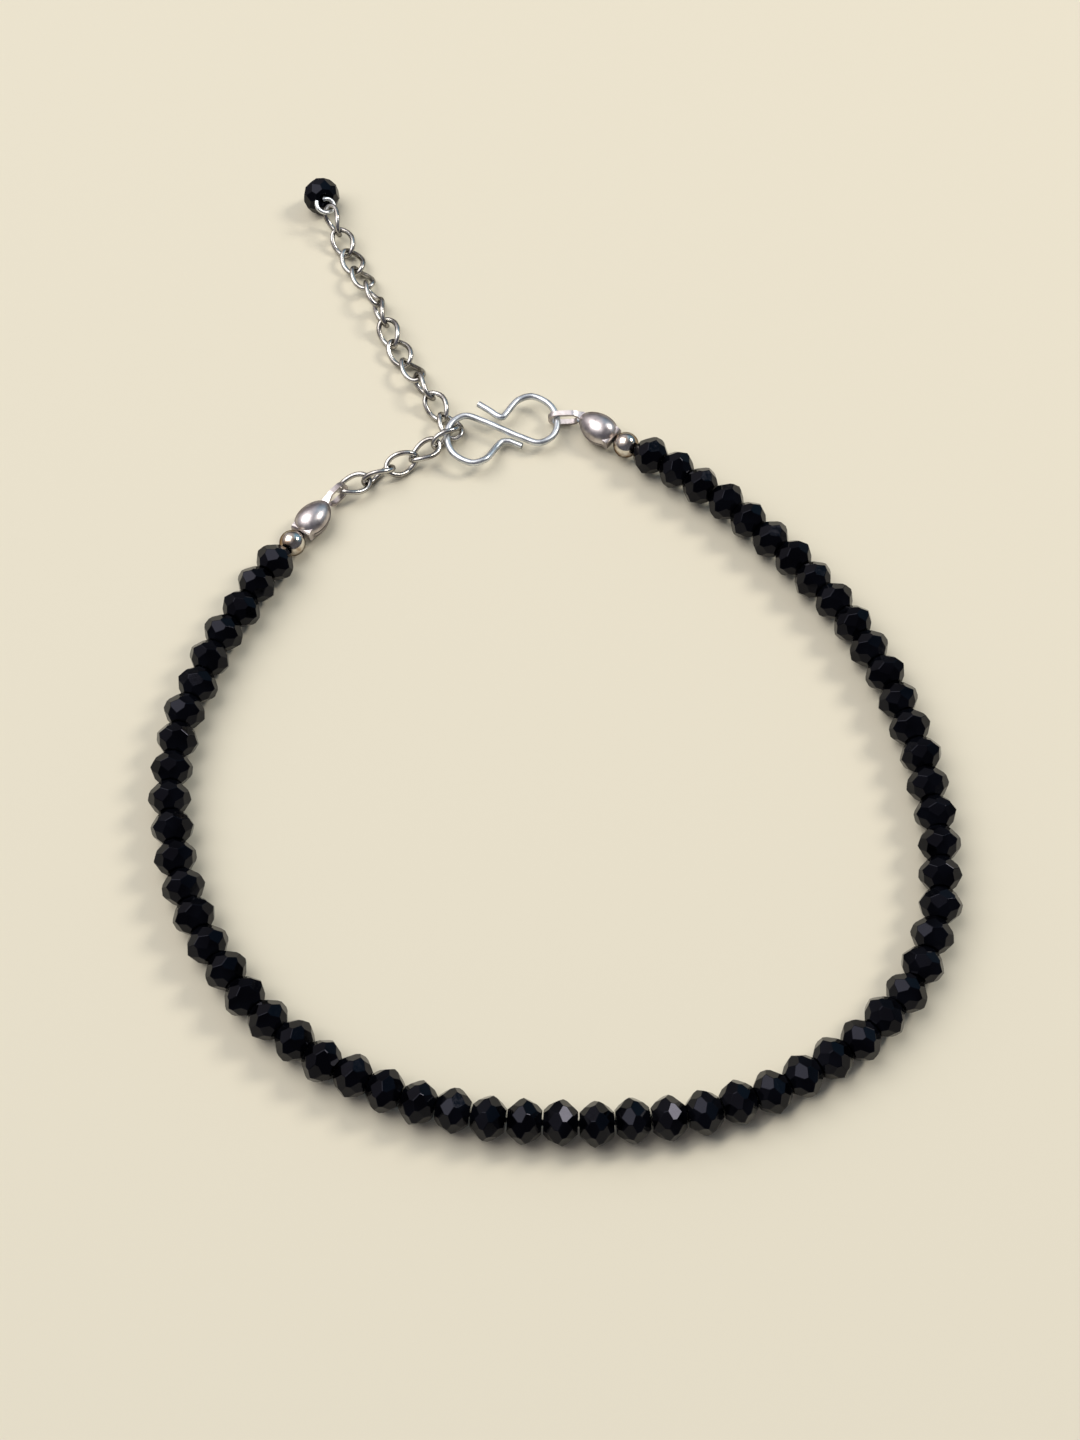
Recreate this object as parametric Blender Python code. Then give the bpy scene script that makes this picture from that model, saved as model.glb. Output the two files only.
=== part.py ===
# Beaded anklet: a string of black cut-glass rondelles, a silver ball and a clamshell tip at
# each end, an S-hook, and an extension chain with one more rondelle on a head pin.
# Everything lies on the plane z = 0. Lengths are metres.

import math

import bmesh
import bpy
from mathutils import Matrix, Vector

MM = 0.001

# Cut-glass rondelles
BEAD_DIAMETER = 4.0 * MM
BEAD_THICKNESS = 2.86 * MM
BEAD_FACETS = 8
BEAD_MAIN_SLOPE = 29.0
BEAD_MAIN_REACH = 1.0 * MM
BEAD_LEAST_GAP = 0.2 * MM
BEAD_HOLE = 1.0 * MM
BEAD_TURN = 152.2
BEAD_SWAY = 0.09 * MM
BEAD_LEAN = 1.3
THREAD_DIAMETER = 0.6 * MM
KNOT_DIAMETER = 1.1 * MM
THREAD_SIDES = 8
# The knot from its tip: place in shares of half its length with width as a share, then its end
KNOT_SHAPE = [(0.1, 0.55), (1.0, 1.0)]
KNOT_END = 1.9

# Round silver balls beside the end beads
BALL_DIAMETER = 2.6 * MM
BALL_HOLE = 1.0 * MM

# Clamshell tips, folded from one sheet: two cups, a hinge and a curled tongue
SHELL_LENGTH = 4.45 * MM
SHELL_WIDTH = 3.2 * MM
SHELL_HEIGHT = 2.8 * MM
SHELL_TAPER = 0.32
KNOT_PLACE = 0.42
SHEET = 0.28 * MM
SEAM = 0.14 * MM
HINGE_WIDTH = 2.2 * MM
HINGE_DEPTH = 1.1 * MM
HINGE_HEIGHT = 1.25 * MM
THREAD_HOLE = 0.9 * MM
TONGUE_WIDTH = 0.56 * MM
TONGUE_FLARE = (1.9, 1.5)
EYE_HEIGHT = 1.9 * MM
EYE_DROP = 0.15 * MM
EYE_GAP = 0.12 * MM
EYE_SLACK = 0.12 * MM

# S-hook
HOOK_WIRE = 0.66 * MM
HOOK_LENGTH = 11.86 * MM
HOOK_LEFT_HEIGHT = 1.71 * MM
HOOK_RIGHT_HEIGHT = 1.3 * MM

# Twisted curb links
LINK_LENGTH = 3.9 * MM
LINK_WIDTH = 2.65 * MM
LINK_WIRE = 0.52 * MM
LINK_TWIST = 60.0
LINK_SEGMENTS = 12

# Head pin with a turned eye, which carries the last rondelle; both lean on the floor
PIN_WIRE = 0.45 * MM
PIN_HEAD_DIAMETER = 1.6 * MM
PIN_HEAD_THICKNESS = 0.35 * MM
PIN_EYE_RADIUS = 0.74 * MM
PIN_TAIL_SPREAD = 1.5
PIN_TAIL_RADIUS = 1.3 * MM
PIN_RISE = 35.0
PIN_EYE_SLOPE = 25.0
PIN_EYE_ROLL = 20.0

# Clearances between pieces that touch on the real anklet
FLOOR_GAP = 0.02 * MM
TOUCH = 0.12 * MM

# Where the pieces lie, seen from above, before the whole is centred: the bead loop's width, its
# length from the far beads to the hook, and places in it as shares of those two
LOOP_WIDTH = 70.0 * MM
LOOP_LENGTH = 73.7 * MM
HOOK_PLACE = (-0.0550, 0.4661)

# The string's way from the right clamshell round to the left one
STRING_ROUTE = [
    (0.2821, 0.3220), (0.4357, 0.1360), (0.5101, -0.0716), (0.5107, -0.2672),
    (0.4454, -0.3910), (0.2829, -0.4978), (0.1086, -0.5343), (-0.1263, -0.5171),
    (-0.3227, -0.4225), (-0.4483, -0.2630), (-0.4889, -0.0695), (-0.4504, 0.0936),
]

# The clamshells: headings from the bead side of the cups, of the eye and of the string behind them,
# the roll of the cups, all in degrees, and how long the eye is
RIGHT_SHELL = {"heading": 138.0, "eye": 180.0, "string": 146.5, "roll": -6.0, "reach": 3.3 * MM}
LEFT_SHELL = {"heading": 58.0, "eye": 50.0, "string": 58.0, "roll": -8.0, "reach": 2.7 * MM}
# Where on the hook's wire the right clamshell hangs, in the hook's own shares
HANG_PLACE = (0.988, 0.3)

# The hook's wire from its middle, as shares of half its length, out through one loop
HOOK_SHAPE = [
    (0.0, 0.0), (0.34, -0.17), (0.68, -0.285), (0.93, -0.11), (1.0, 0.215),
    (0.875, 0.57), (0.54, 0.765),
]
# The two ends that follow the loops, and how far the second one dips, as a share of the wire
HOOK_UPPER_END = [
    (0.3, 0.68), (0.17, 0.525), (0.08, 0.375), (0.0, 0.275), (-0.09, 0.3), (-0.215, 0.4), (-0.44, 0.56),
]
HOOK_LOWER_END = [
    (-0.3, -0.68), (-0.2, -0.52), (-0.11, -0.33), (0.0, -0.18), (0.13, -0.165), (0.26, -0.215),
    (0.36, -0.265),
]
HOOK_DIP = [0.0, 0.35, 0.8, 1.0, 1.0, 1.0, 1.0]

# Heading and roll of each link, in degrees: first from the hook to the left clamshell,
# then along the free end from the hook's link to the end bead
JOINING_LINKS = [(44.3, -75.0), (37.8, -12.0), (29.0, 51.0), (33.0, 114.0), (21.0, 177.0)]
FREE_LINKS = [
    (119.3, 20.0), (121.0, -34.0), (121.0, -95.0), (117.0, -155.0), (119.0, -190.0), (112.0, -215.0),
    (108.0, -262.0), (117.0, -300.0), (116.0, -336.0), (112.0, -358.0), (115.0, -380.0), (113.0, -432.0),
]

# The hook's link lies across the wire: its middle from the wire in plan, and how far its right
# and left joints and the next link's joint hang below the wire
HOOKED_LINK = (-0.17 * MM, 0.41 * MM)
HOOKED_LINK_DROPS = (0.36 * MM, 0.26 * MM)
FREE_LINK_START = (1.05 * MM, -0.46 * MM)
FREE_LINK_DROP = 0.79 * MM


def clear_scene():
    for item in list(bpy.data.objects):
        bpy.data.objects.remove(item, do_unlink=True)


def make_material(name, color, roughness, metallic):
    material = bpy.data.materials.new(name)
    material.use_nodes = True
    shader = material.node_tree.nodes["Principled BSDF"]
    shader.inputs["Base Color"].default_value = (*color, 1.0)
    shader.inputs["Roughness"].default_value = roughness
    shader.inputs["Metallic"].default_value = metallic
    return material


def make_node(name, data, material, parent):
    item = bpy.data.objects.new(name, data)
    bpy.context.scene.collection.objects.link(item)
    data.materials.append(material)
    item.parent = parent
    return item


def make_empty(name, parent=None):
    item = bpy.data.objects.new(name, None)
    item.empty_display_size = BEAD_DIAMETER
    bpy.context.scene.collection.objects.link(item)
    item.parent = parent
    return item


def mesh_from(bm, name):
    bmesh.ops.recalc_face_normals(bm, faces=bm.faces)
    mesh = bpy.data.meshes.new(name)
    bm.to_mesh(mesh)
    bm.free()
    return mesh


def in_loop(x, y, height):
    """A place given as shares of the loop's width and length."""
    return Vector((x * LOOP_WIDTH, y * LOOP_LENGTH, height))


def heading_vector(degrees):
    angle = math.radians(degrees)
    return Vector((math.cos(angle), math.sin(angle), 0.0))


def frame_along(origin, direction, roll=0.0):
    """Matrix whose X runs along direction and whose Y starts level, turned by roll degrees."""
    x_axis = Vector(direction).normalized()
    y_axis = Vector((0.0, 0.0, 1.0)).cross(x_axis).normalized()
    z_axis = x_axis.cross(y_axis)
    turned = Matrix((x_axis, y_axis, z_axis)).transposed().to_4x4()
    return Matrix.Translation(origin) @ turned @ Matrix.Rotation(math.radians(roll), 4, "X")


def smooth_curve(points, steps=12):
    """Points along a centripetal curve through the given points."""
    points = [Vector(p) for p in points]
    ends = [points[0] * 2 - points[1]] + points + [points[-1] * 2 - points[-2]]
    curve = []
    for a, b, c, d in zip(ends, ends[1:], ends[2:], ends[3:]):
        t1 = math.sqrt((b - a).length)
        t2 = t1 + math.sqrt((c - b).length)
        t3 = t2 + math.sqrt((d - c).length)
        for step in range(steps):
            t = t1 + (t2 - t1) * step / steps
            ab = a.lerp(b, t / t1)
            bc = b.lerp(c, (t - t1) / (t2 - t1))
            cd = c.lerp(d, (t - t2) / (t3 - t2))
            abc = ab.lerp(bc, t / t2)
            bcd = bc.lerp(cd, (t - t1) / (t3 - t1))
            curve.append(abc.lerp(bcd, (t - t1) / (t2 - t1)))
    curve.append(points[-1])
    return curve


def curve_length(curve):
    return sum((b - a).length for a, b in zip(curve, curve[1:]))


def point_at(curve, distance):
    """The point and direction at a distance along a curve."""
    for a, b in zip(curve, curve[1:]):
        step = (b - a).length
        if distance <= step or b is curve[-1]:
            return a.lerp(b, distance / step), (b - a).normalized()
        distance -= step


def wire(name, points, diameter, sides, material, parent, cyclic=False, widths=None):
    """A round wire along points, as a bevelled curve with filled ends."""
    data = bpy.data.curves.new(name, "CURVE")
    data.dimensions = "3D"
    data.bevel_depth = diameter / 2
    data.bevel_resolution = sides // 2 - 2
    data.use_fill_caps = True
    spline = data.splines.new("POLY")
    spline.points.add(len(points) - 1)
    for index, point in enumerate(points):
        spline.points[index].co = (*point, 1.0)
        spline.points[index].radius = widths[index] if widths else 1.0
    spline.use_cyclic_u = cyclic
    return make_node(name, data, material, parent)


# Beads


def bead_rings():
    """Radius, place along the hole and turn of each ring of eight corners of a cut bead."""
    radius = BEAD_DIAMETER / 2
    half_step = math.pi / BEAD_FACETS
    half = BEAD_THICKNESS / 2
    # A main facet reaches from the far side of the girdle to its outer corner.
    slope = math.tan(math.radians(BEAD_MAIN_SLOPE))
    girdle = radius * (1 - math.cos(half_step)) / (2 * slope)
    outer = radius - (BEAD_MAIN_REACH + girdle) * slope
    # An end facet lies through a girdle corner and two outer corners, and runs to the rim.
    outer_flat = outer * math.cos(half_step)
    fall = (radius - outer_flat) / (BEAD_MAIN_REACH - girdle)
    rim = (outer_flat - fall * (half - BEAD_MAIN_REACH)) / math.cos(half_step)
    return [
        (rim, half, 0), (outer, BEAD_MAIN_REACH, 0), (radius, girdle, half_step),
        (radius, -girdle, 0), (outer, -BEAD_MAIN_REACH, half_step), (rim, -half, half_step),
    ]


def cut_bead(hole):
    """One cut bead along X, open at both ends on a round hole of that diameter."""
    bm = bmesh.new()
    for radius, place, turn in bead_rings():
        for index in range(BEAD_FACETS):
            angle = 2 * math.pi * index / BEAD_FACETS + turn
            bm.verts.new((place, radius * math.cos(angle), radius * math.sin(angle)))
    bmesh.ops.convex_hull(bm, input=bm.verts)
    bmesh.ops.dissolve_limit(bm, angle_limit=math.radians(1), verts=bm.verts, edges=bm.edges)
    bm.normal_update()
    rim_flat = bead_rings()[0][0] * math.cos(math.pi / BEAD_FACETS)
    hole_flat = hole / 2 * math.cos(math.pi / BEAD_FACETS)
    ends = [face for face in bm.faces if abs(face.normal.x) > 0.99]
    bmesh.ops.inset_individual(bm, faces=ends, thickness=rim_flat - hole_flat, use_even_offset=True)
    bmesh.ops.delete(bm, geom=ends, context="FACES_ONLY")
    return bm


def end_loops(bm):
    """The open loops of edges, in order along X."""
    open_edges = [edge for edge in bm.edges if edge.is_boundary]
    loops = {}
    for edge in open_edges:
        side = edge.verts[0].co.x > 0
        loops.setdefault(side, []).append(edge)
    return loops[False], loops[True]


def bead_pose(index, point, direction):
    """Where one bead sits on the thread: beads are turned at random and sit a little loose."""
    roll = BEAD_TURN * index
    sway = BEAD_SWAY * math.sin(2.4 * index)
    lean = math.radians(BEAD_LEAN) * math.sin(3.7 * index + 0.5)
    frame = frame_along(point, direction, 0.0)
    shift = Matrix.Translation((0.0, sway, 0.0)) @ Matrix.Rotation(lean, 4, "Z")
    return frame @ shift @ Matrix.Rotation(math.radians(roll), 4, "X")


def ring_of_thread(bm, frame, diameter):
    """A ring of thread across X of a frame."""
    across = Matrix.Rotation(math.pi / 2, 4, "Y")
    made = bmesh.ops.create_circle(bm, segments=THREAD_SIDES, radius=diameter / 2, matrix=frame @ across)
    edges = {edge for vert in made["verts"] for edge in vert.link_edges}
    return list(edges)


def string_stations(curve):
    """How far along the string each bead's middle lies."""
    start = ball_from_knot() + BALL_DIAMETER / 2 + TOUCH
    room = curve_length(curve) - 2 * start
    count = int(room / (BEAD_THICKNESS + BEAD_LEAST_GAP))
    pitch = room / count
    return [start + pitch * (index + 0.5) for index in range(count)]


def ball_from_knot():
    """From the knot in a clamshell to the middle of the ball beside it."""
    return knot_depth() + TOUCH + BALL_DIAMETER / 2


def knot_depth():
    """From a clamshell's hinge to the middle of the knot inside it."""
    return KNOT_PLACE * SHELL_LENGTH


def make_string(curve, material, parent):
    """All beads fused on their thread, with a knot at each end."""
    template = bpy.data.meshes.new("bead_template")
    cut = cut_bead(THREAD_DIAMETER)
    cut.to_mesh(template)
    cut.free()
    bm = bmesh.new()
    total = curve_length(curve)
    chains = []

    def thread_at(distance, diameter):
        point, direction = point_at(curve, distance)
        chains.append((ring_of_thread(bm, frame_along(point, direction), diameter), None))

    knot = KNOT_DIAMETER / 2
    ball = ball_from_knot()
    reach = BALL_DIAMETER / 2
    lead = [(along * knot, wide * KNOT_DIAMETER) for along, wide in KNOT_SHAPE]
    lead += [(place, THREAD_DIAMETER) for place in (KNOT_END * knot, ball - reach, ball + reach)]
    for distance, diameter in lead:
        thread_at(distance, diameter)
    for index, distance in enumerate(string_stations(curve)):
        point, direction = point_at(curve, distance)
        fresh = bmesh.new()
        fresh.from_mesh(template)
        fresh.verts.index_update()
        near, far = end_loops(fresh)
        near_ids = {vert.index for edge in near for vert in edge.verts}
        far_ids = {vert.index for edge in far for vert in edge.verts}
        bmesh.ops.transform(fresh, matrix=bead_pose(index, point, direction), verts=fresh.verts)
        placed = bpy.data.meshes.new("placed_bead")
        fresh.to_mesh(placed)
        fresh.free()
        first = len(bm.verts)
        bm.from_mesh(placed)
        bm.verts.ensure_lookup_table()
        ends = []
        for ids in (near_ids, far_ids):
            corners = {bm.verts[first + number] for number in ids}
            ends.append([edge for vert in corners for edge in vert.link_edges
                         if edge.other_vert(vert) in corners])
        chains.append((list(set(ends[0])), list(set(ends[1]))))
        bpy.data.meshes.remove(placed)
    for distance, diameter in reversed(lead):
        thread_at(total - distance, diameter)
    for (near, far), (next_near, _) in zip(chains, chains[1:]):
        bmesh.ops.bridge_loops(bm, edges=(far or near) + next_near)
    for ring in (chains[0][0], chains[-1][0]):
        bmesh.ops.edgeloop_fill(bm, edges=ring)
    bpy.data.meshes.remove(template)
    mesh = mesh_from(bm, "bead_string")
    return make_node("bead_string", mesh, material, parent)


def make_end_bead(frame, material, parent):
    """The same rondelle, drilled right through for its pin."""
    bm = cut_bead(BEAD_HOLE)
    bmesh.ops.bridge_loops(bm, edges=[edge for edge in bm.edges if edge.is_boundary])
    item = make_node("end_bead", mesh_from(bm, "end_bead"), material, parent)
    item.matrix_local = frame
    return item


def make_ball(name, frame, material, parent):
    """A drilled ball, spun round its hole."""
    radius = BALL_DIAMETER / 2
    hole = BALL_HOLE / 2
    start = math.asin(hole / radius)
    steps = 8
    bm = bmesh.new()
    profile = []
    for step in range(steps + 1):
        angle = start + (math.pi - 2 * start) * step / steps
        profile.append(bm.verts.new((radius * math.cos(angle), radius * math.sin(angle), 0.0)))
    edges = [bm.edges.new(pair) for pair in zip(profile, profile[1:] + profile[:1])]
    bmesh.ops.spin(bm, geom=profile + edges, cent=(0, 0, 0), axis=(1, 0, 0), dvec=(0, 0, 0),
                   angle=2 * math.pi, steps=14, use_merge=True, use_duplicate=False)
    bmesh.ops.remove_doubles(bm, verts=bm.verts, dist=0.001 * MM)
    mesh = mesh_from(bm, name)
    mesh.shade_smooth()
    mesh.set_sharp_from_angle(angle=math.radians(50))
    item = make_node(name, mesh, material, parent)
    item.matrix_local = frame
    return item


# Clamshells


def add_boolean(item, cutter, operation):
    modifier = item.modifiers.new(cutter.name, "BOOLEAN")
    modifier.operation = operation
    modifier.object = cutter
    modifier.solver = "EXACT"
    cutter.hide_render = True
    cutter.display_type = "WIRE"


def guide(name, bm, parent, matrix):
    mesh = mesh_from(bm, name)
    item = bpy.data.objects.new(name, mesh)
    bpy.context.scene.collection.objects.link(item)
    item.parent = parent
    item.matrix_local = matrix
    return item


def egg(length, width, height, segments, rings):
    """An egg along X, which narrows towards +X."""
    bm = bmesh.new()
    bmesh.ops.create_uvsphere(bm, u_segments=segments, v_segments=rings, radius=0.5,
                              matrix=Matrix.Rotation(math.pi / 2, 4, "Y"))
    for vert in bm.verts:
        taper = 1 - SHELL_TAPER * vert.co.x
        vert.co = Vector((vert.co.x * length, vert.co.y * width * taper, vert.co.z * height * taper))
    return bm


def block(length, width, height, rounding):
    bm = bmesh.new()
    bmesh.ops.create_cube(bm, size=1.0, matrix=Matrix.Diagonal((length, width, height, 1.0)))
    edges = [edge for edge in bm.edges if abs((edge.verts[0].co - edge.verts[1].co).normalized().y) > 0.9
             and edge.verts[0].co.x < 0]
    bmesh.ops.bevel(bm, geom=edges, offset=rounding, offset_type="OFFSET", affect="EDGES",
                    segments=3, profile=0.5, material=-1)
    return bm


def eye_path(neck, reach):
    """The curled strip's middle line from the neck, seen from the side: over, round and back."""
    radius = (EYE_HEIGHT - SHEET) / 2
    straight = reach - SHEET - 2 * radius
    near = neck + EYE_GAP + SHEET / 2 + radius
    path = []
    for centre, start, turn in ((near, 120, 30), (near + straight, 90, 180), (near, 270, 60)):
        steps = max(turn // 30, 1)
        for step in range(steps + 1):
            angle = math.radians(start - turn * step / steps)
            path.append((centre + radius * math.cos(angle), radius * math.sin(angle) - EYE_DROP))
    return path


def tongue(turn, reach):
    """The strip that leaves the upper cup, and curls over into the eye and back below."""
    root = SHELL_LENGTH - 2.6 * SHEET
    lift = SEAM / 2 + SHEET / 2
    path = [(root, lift), (SHELL_LENGTH, lift)] + eye_path(SHELL_LENGTH, reach)
    pivot = Matrix.Translation((SHELL_LENGTH, 0, 0))
    swing = pivot @ Matrix.Rotation(math.radians(turn), 4, "Z") @ pivot.inverted()
    bm = bmesh.new()
    rows = []
    for index, (x, z) in enumerate(path):
        before = Vector(path[max(index - 1, 0)])
        after = Vector(path[min(index + 1, len(path) - 1)])
        along = (after - before).normalized()
        side = Vector((-along.y, along.x)) * SHEET / 2
        wide = TONGUE_WIDTH / 2 * (TONGUE_FLARE[index] if index < len(TONGUE_FLARE) else 1.0)
        row = []
        for y, offset in ((-wide, side), (wide, side), (wide, -side), (-wide, -side)):
            spot = Vector((x + offset.x, y, z + offset.y))
            row.append(bm.verts.new(swing @ spot if index > 1 else spot))
        rows.append(row)
    for row, following in zip(rows, rows[1:]):
        for corner in range(4):
            after = (corner + 1) % 4
            bm.faces.new((row[corner], row[after], following[after], following[corner]))
    bm.faces.new(rows[0])
    bm.faces.new(reversed(rows[-1]))
    return bm


def make_clamshell(name, frame, side, material, parent):
    """Two cups on a fold, hollow, slit round their seam, with the hole for the thread."""
    outer = egg(SHELL_LENGTH, SHELL_WIDTH, SHELL_HEIGHT, 14, 9)
    middle = Matrix.Translation((SHELL_LENGTH / 2, 0, 0))
    bmesh.ops.transform(outer, matrix=middle, verts=outer.verts)
    item = make_node(name, mesh_from(outer, name), material, parent)
    item.matrix_local = frame
    fold = block(HINGE_DEPTH, HINGE_WIDTH, HINGE_HEIGHT, 0.3 * HINGE_HEIGHT)
    add_boolean(item, guide(name + "_fold", fold, item, Matrix.Translation((HINGE_DEPTH / 2, 0, 0))), "UNION")
    hollow = egg(SHELL_LENGTH - 2 * SHEET, SHELL_WIDTH - 2 * SHEET, SHELL_HEIGHT - 2 * SHEET, 14, 9)
    add_boolean(item, guide(name + "_hollow", hollow, item, middle), "DIFFERENCE")
    drill = bmesh.new()
    bmesh.ops.create_cone(drill, cap_ends=True, segments=10, radius1=THREAD_HOLE / 2,
                          radius2=THREAD_HOLE / 2, depth=2 * HINGE_DEPTH,
                          matrix=Matrix.Rotation(math.pi / 2, 4, "Y"))
    add_boolean(item, guide(name + "_drill", drill, item, Matrix()), "DIFFERENCE")
    slit_length = 2 * SHELL_LENGTH
    slit = block(slit_length, 2 * SHELL_WIDTH, SEAM, 0.1 * SEAM)
    slit_place = Matrix.Translation((2.2 * SHEET + slit_length / 2, 0, 0))
    add_boolean(item, guide(name + "_slit", slit, item, slit_place), "DIFFERENCE")
    strip = tongue(side["eye"] - side["heading"], side["reach"])
    add_boolean(item, guide(name + "_tongue", strip, item, Matrix()), "UNION")
    return item


def shell_half_height(roll):
    """Height of a rolled clamshell's middle above the floor."""
    lean = math.radians(roll)
    flat = SHELL_HEIGHT / 2 * math.cos(lean)
    wide = SHELL_WIDTH / 2 * math.sin(lean)
    return 1.04 * math.hypot(flat, wide) + FLOOR_GAP


def eye_end_from_hinge(side):
    """From a clamshell's hinge to the strip at the far end of its eye, on the floor plan and up."""
    turn = Matrix.Rotation(math.radians(side["eye"] - side["heading"]), 4, "Z")
    reach = turn @ Vector((EYE_GAP + side["reach"] - SHEET / 2, 0.0, -EYE_DROP))
    pose = frame_along(Vector(), heading_vector(side["heading"]), side["roll"])
    return pose @ (Vector((SHELL_LENGTH, 0.0, 0.0)) + reach)


def hinge_behind(side, strip_end):
    """Hinge place of a clamshell whose eye ends at the given place, resting on the floor."""
    hinge = strip_end - eye_end_from_hinge(side)
    hinge.z = shell_half_height(side["roll"])
    return hinge


# Hook and links


def hook_height(along):
    """Height of the hook's plane, which leans a little from its left loop to its right."""
    share = (along / ((HOOK_LENGTH - HOOK_WIRE) / 2) + 1) / 2
    return HOOK_LEFT_HEIGHT + (HOOK_RIGHT_HEIGHT - HOOK_LEFT_HEIGHT) * share


def hook_point(x, y, dip=0.0):
    half = (HOOK_LENGTH - HOOK_WIRE) / 2
    drop = dip * (HOOK_WIRE + TOUCH)
    middle = in_loop(*HOOK_PLACE, 0.0)
    return middle + Vector((x * half, y * half, hook_height(x * half) - drop))


def make_hook(material, parent):
    lower = [hook_point(x, y, dip) for (x, y), dip in zip(reversed(HOOK_LOWER_END), reversed(HOOK_DIP))]
    lower += [hook_point(-x, -y) for x, y in reversed(HOOK_SHAPE[1:])]
    upper = [hook_point(x, y) for x, y in HOOK_SHAPE + HOOK_UPPER_END]
    points = smooth_curve(lower + upper, 3)
    return wire("s_hook", points, HOOK_WIRE, 6, material, parent)


def link_inner():
    return LINK_LENGTH - 2 * LINK_WIRE


def link_pitch():
    return link_inner() - TOUCH


def link_points(segments):
    """One link's wire along X: an oval, twisted about its length."""
    half_long = (LINK_LENGTH - LINK_WIRE) / 2
    half_wide = (LINK_WIDTH - LINK_WIRE) / 2
    corner = 1 / math.cos(math.pi / segments)
    points = []
    for step in range(segments):
        angle = 2 * math.pi * (step + 0.5) / segments
        x = corner * half_long * math.cos(angle)
        across = corner * half_wide * math.sin(angle)
        turn = math.radians(LINK_TWIST) * x / (2 * half_long)
        points.append(Vector((x, across * math.cos(turn), across * math.sin(turn))))
    return points


def link_half_height(roll):
    """From a link's middle down to the lowest point of its wire."""
    turned = Matrix.Rotation(math.radians(roll), 3, "X")
    return LINK_WIRE / 2 - min((turned @ point).z for point in link_points(24))


def make_link(name, middle, direction, roll, material, parent):
    item = wire(name, link_points(LINK_SEGMENTS), LINK_WIRE, 6, material, parent, cyclic=True)
    item.matrix_local = frame_along(middle, direction, roll)
    return item


def lay_links(start, table, backwards):
    """Joints between links that follow a table of headings, seen from above."""
    joints = [start]
    for heading, _ in table:
        step = heading_vector(heading) * link_pitch()
        joints.append(joints[-1] - step if backwards else joints[-1] + step)
    return joints


def joint_heights(table):
    """Each joint is as high as the higher of its two links needs."""
    needs = [link_half_height(roll) + FLOOR_GAP for _, roll in table]
    return [max(pair) for pair in zip(needs[:1] + needs, needs + needs[-1:])]


# The end pin


def pin_axes():
    """The bead's axis, and the eye's two axes, with Y along the last link and Z up."""
    rise = math.radians(PIN_RISE)
    slope = math.radians(PIN_EYE_SLOPE)
    roll = math.radians(PIN_EYE_ROLL)
    axis = Vector((0, -math.cos(rise), math.sin(rise)))
    along = Vector((0, math.cos(slope), math.sin(slope)))
    across = Vector((math.cos(roll), math.sin(roll) * math.sin(slope), -math.sin(roll) * math.cos(slope)))
    return axis, along, across


def pin_eye_middle():
    """Middle of the eye from the bead's middle."""
    axis, along, _ = pin_axes()
    leave = BEAD_THICKNESS / 2 + TOUCH + PIN_WIRE / 2
    return axis * leave - along * PIN_EYE_RADIUS


def end_bead_height():
    """The bead leans on its girdle and on the rim of the pin's head."""
    rise = math.radians(PIN_RISE)
    head = BEAD_THICKNESS / 2 + TOUCH + PIN_HEAD_THICKNESS
    rim = head * math.sin(rise) + PIN_HEAD_DIAMETER / 2 * math.cos(rise)
    girdle = BEAD_DIAMETER / 2 * math.cos(rise)
    return max(rim, girdle) + FLOOR_GAP


def pin_path():
    """Head and shank through the bead, round into the eye, and out into a short curved tail."""
    axis, along, across = pin_axes()
    middle = pin_eye_middle()
    head = -BEAD_THICKNESS / 2 - TOUCH
    points = [axis * (head - PIN_HEAD_THICKNESS), axis * head, axis * (head + 0.03 * MM),
              axis * (BEAD_THICKNESS / 2 - 0.1 * MM)]
    flare = PIN_HEAD_DIAMETER / PIN_WIRE
    widths = [flare, flare, 1.0, 1.0]
    turned = []
    for step in range(12):
        angle = math.radians(105 - 200 * step / 11)
        turned.append((angle, PIN_EYE_RADIUS))
    for step in range(1, 8):
        share = step / 7
        radius = PIN_EYE_RADIUS + (PIN_TAIL_RADIUS - PIN_EYE_RADIUS) * min(1.0, PIN_TAIL_SPREAD * share)
        turned.append((math.radians(-95 - 115 * share), radius))
    for angle, radius in turned:
        points.append(middle + (across * math.cos(angle) + along * math.sin(angle)) * radius)
        widths.append(1.0)
    return points, widths


def centre_on_floor(root):
    """Moves the whole so that its box stands on z = 0 with its middle over the origin."""
    bpy.context.view_layer.update()
    shown = bpy.context.evaluated_depsgraph_get()
    corners = []
    for item in bpy.data.objects:
        if item.type in {"MESH", "CURVE"} and not item.hide_render:
            mesh = item.evaluated_get(shown).to_mesh()
            corners += [item.matrix_world @ vert.co for vert in mesh.vertices]
            item.evaluated_get(shown).to_mesh_clear()
    low = Vector(min(corner[axis] for corner in corners) for axis in range(3))
    high = Vector(max(corner[axis] for corner in corners) for axis in range(3))
    root.location = (-(low.x + high.x) / 2, -(low.y + high.y) / 2, -low.z)


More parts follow.
